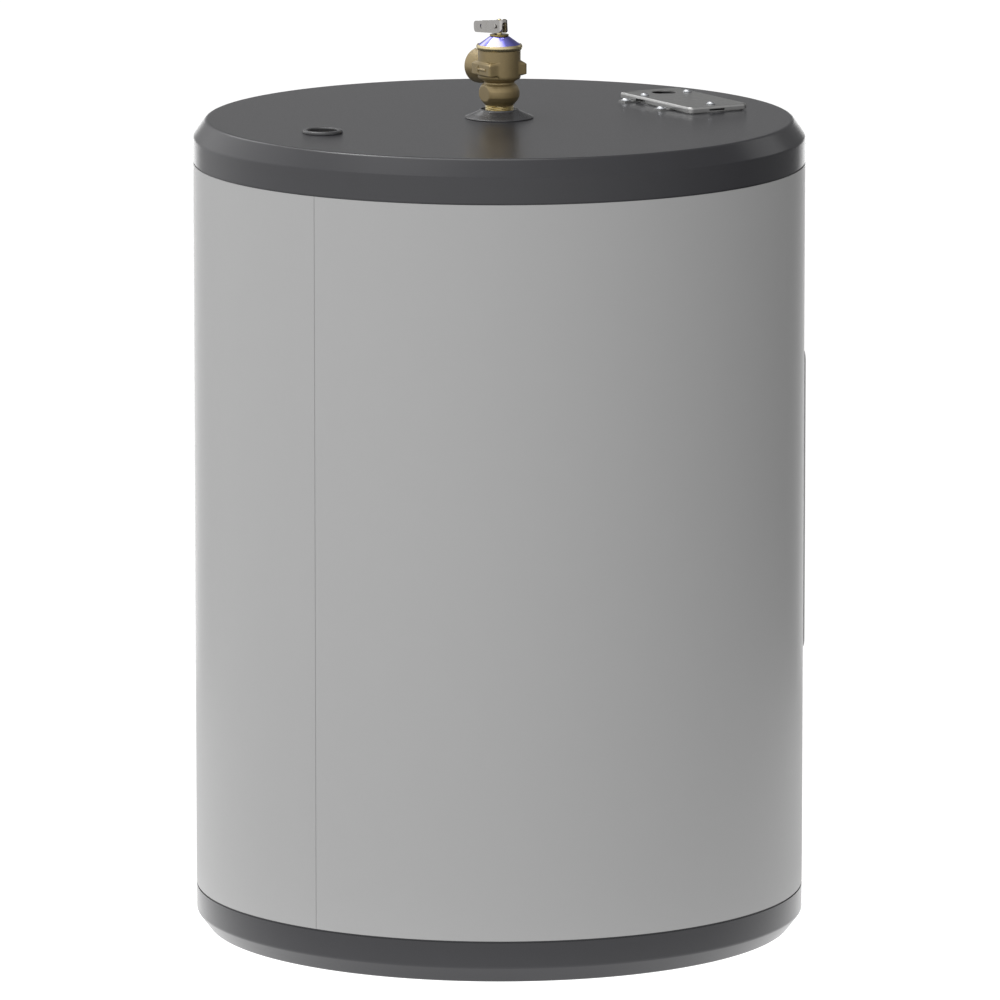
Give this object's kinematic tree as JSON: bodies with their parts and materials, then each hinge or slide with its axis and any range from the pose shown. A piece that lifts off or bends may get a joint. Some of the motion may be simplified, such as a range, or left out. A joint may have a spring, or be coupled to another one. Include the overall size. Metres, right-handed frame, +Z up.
{
  "type": "tank water heater",
  "caption": "Low, wide electric storage water heater: round jacketed tank with dark top cap and base pan, relief valve with lever on top, access panel, elements and drain valve.",
  "frame": {"origin": "on the floor under the tank's axis, on the underside of the base pan", "axes": "+Z up along the tank's axis; -Y is the front, with the access panel and the junction box; +X is the way the relief valve's outlet and lever point"},
  "size_m": [0.5669, 0.5857, 0.8393],
  "materials": {
    "dark_powder_coat": "satin",
    "jacket_paint": "satin",
    "expanded_polystyrene": "matte",
    "polyurethane_foam": "matte",
    "glass_fibre_pad": "matte",
    "enamelled_tank_steel": "gloss",
    "weld_steel": "matte",
    "plug_steel": "satin",
    "magnesium": "matte",
    "black_plastic": "satin",
    "white_plastic": "satin",
    "nipple_steel": "satin",
    "element_metal": "satin",
    "black_rubber": "matte",
    "brown_phenolic": "satin",
    "black_phenolic": "satin",
    "terminal_brass": "satin",
    "spring_clip_steel": "satin",
    "dial_plastic": "satin",
    "red_button_plastic": "gloss",
    "black_wire_insulation": "satin",
    "red_wire_insulation": "satin",
    "blue_wire_insulation": "satin",
    "yellow_wire_insulation": "satin",
    "galvanised_steel": "satin",
    "zinc_screw": "gloss",
    "green_screw_paint": "satin",
    "valve_brass": "satin",
    "turned_brass": "gloss",
    "olive_brass": "satin",
    "polished_bonnet": "polished",
    "spring_steel": "satin",
    "probe_copper": "satin",
    "lever_steel": "satin"
  },
  "bodies": {
    "casing": {"base_pan": "dark_powder_coat", "tank_support_ring": "expanded_polystyrene", "jacket": "jacket_paint", "top_cap": "dark_powder_coat", "foam_insulation": "polyurethane_foam", "control_foam_dam": "expanded_polystyrene", "tank_shell": "enamelled_tank_steel", "top_head": "enamelled_tank_steel", "bottom_head": "enamelled_tank_steel", "pipe_spuds": "weld_steel", "element_spuds": "weld_steel", "anode_plug": "plug_steel", "anode_rod": "magnesium", "anode_port_ring": "black_plastic", "cold_inlet_tube": "white_plastic", "cold_nipple": "nipple_steel", "hot_nipple": "nipple_steel", "nipple_liners": "white_plastic", "pipe_trim_rings": "black_plastic", "upper_element": "element_metal", "lower_element": "element_metal", "element_gaskets": "black_rubber", "element_terminal_blocks": "brown_phenolic", "element_terminal_screws": "terminal_brass", "thermostat_brackets": "spring_clip_steel", "upper_thermostat": "black_phenolic", "high_limit_switch": "black_phenolic", "lower_thermostat": "black_phenolic", "thermostat_screws": "terminal_brass", "black_wires": "black_wire_insulation", "red_wires": "red_wire_insulation", "blue_wires": "blue_wire_insulation", "yellow_wire": "yellow_wire_insulation", "junction_box": "galvanised_steel", "junction_box_cover": "galvanised_steel", "cover_screws": "zinc_screw", "junction_box_screws": "zinc_screw", "ground_screw": "green_screw_paint", "relief_valve_trim": "black_plastic", "relief_valve_body": "valve_brass", "relief_valve_bonnet": "polished_bonnet", "relief_valve_washer": "olive_brass", "relief_valve_spring": "spring_steel", "drain_valve_body": "valve_brass", "drain_packing_nut": "turned_brass"},
    "access_cover": {"access_panel": "jacket_paint", "access_panel_screws": "zinc_screw", "panel_insulation": "glass_fibre_pad"},
    "upper_dial_knob": {"upper_dial": "dial_plastic"},
    "lower_dial_knob": {"lower_dial": "dial_plastic"},
    "reset_plunger": {"reset_button": "red_button_plastic"},
    "relief_stem": {"relief_valve_stem": "turned_brass", "relief_valve_seat_disc": "black_rubber", "relief_valve_probe": "probe_copper", "relief_lever_pin": "lever_steel"},
    "relief_handle": {"relief_lever": "lever_steel"},
    "drain_washer": {"drain_seat_washer": "black_rubber"},
    "drain_wheel": {"drain_handle": "black_plastic", "drain_stem": "turned_brass", "drain_handle_screw": "zinc_screw"}
  },
  "joints": [
    {"name": "access_cover_lift", "type": "slide", "parent": "casing", "child": "access_cover", "axis": [0, -1, 0], "range_m": [0, 0.09]},
    {"name": "upper_dial_turn", "type": "hinge", "parent": "casing", "child": "upper_dial_knob", "pos_m": [0, -0.2532, 0.45], "axis": [0, -1, 0], "range_deg": [-135, 135]},
    {"name": "lower_dial_turn", "type": "hinge", "parent": "casing", "child": "lower_dial_knob", "pos_m": [0, -0.2532, 0.342], "axis": [0, -1, 0], "range_deg": [-135, 135]},
    {"name": "reset_press", "type": "slide", "parent": "casing", "child": "reset_plunger", "axis": [0, 1, 0], "range_m": [0, 0.0015], "stiffness_N_per_m": 800},
    {"name": "relief_stem_lift", "type": "slide", "parent": "casing", "child": "relief_stem", "axis": [0, 0, 1], "range_m": [0, 0.00326], "deforming": ["relief_valve_spring"]},
    {"name": "relief_lever_swing", "type": "hinge", "parent": "relief_stem", "child": "relief_handle", "pos_m": [0, 0, 0.8325], "axis": [0, -1, 0], "range_deg": [0, 85], "stiffness_Nm_per_rad": 0.3},
    {"name": "drain_washer_lift", "type": "slide", "parent": "casing", "child": "drain_washer", "axis": [0.5, -0.866, 0], "range_m": [0, 0.0045]},
    {"name": "drain_handle_turn", "type": "hinge", "parent": "drain_washer", "child": "drain_wheel", "pos_m": [0.15, -0.25981, 0.088], "axis": [0.5, -0.866, 0], "range_deg": [0, 810]}
  ],
  "couplings": [
    {"joint": "relief_lever_swing", "follows": "relief_stem_lift", "rad_per_m": 455.06},
    {"joint": "drain_handle_turn", "follows": "drain_washer_lift", "rad_per_m": 3141.6}
  ]
}
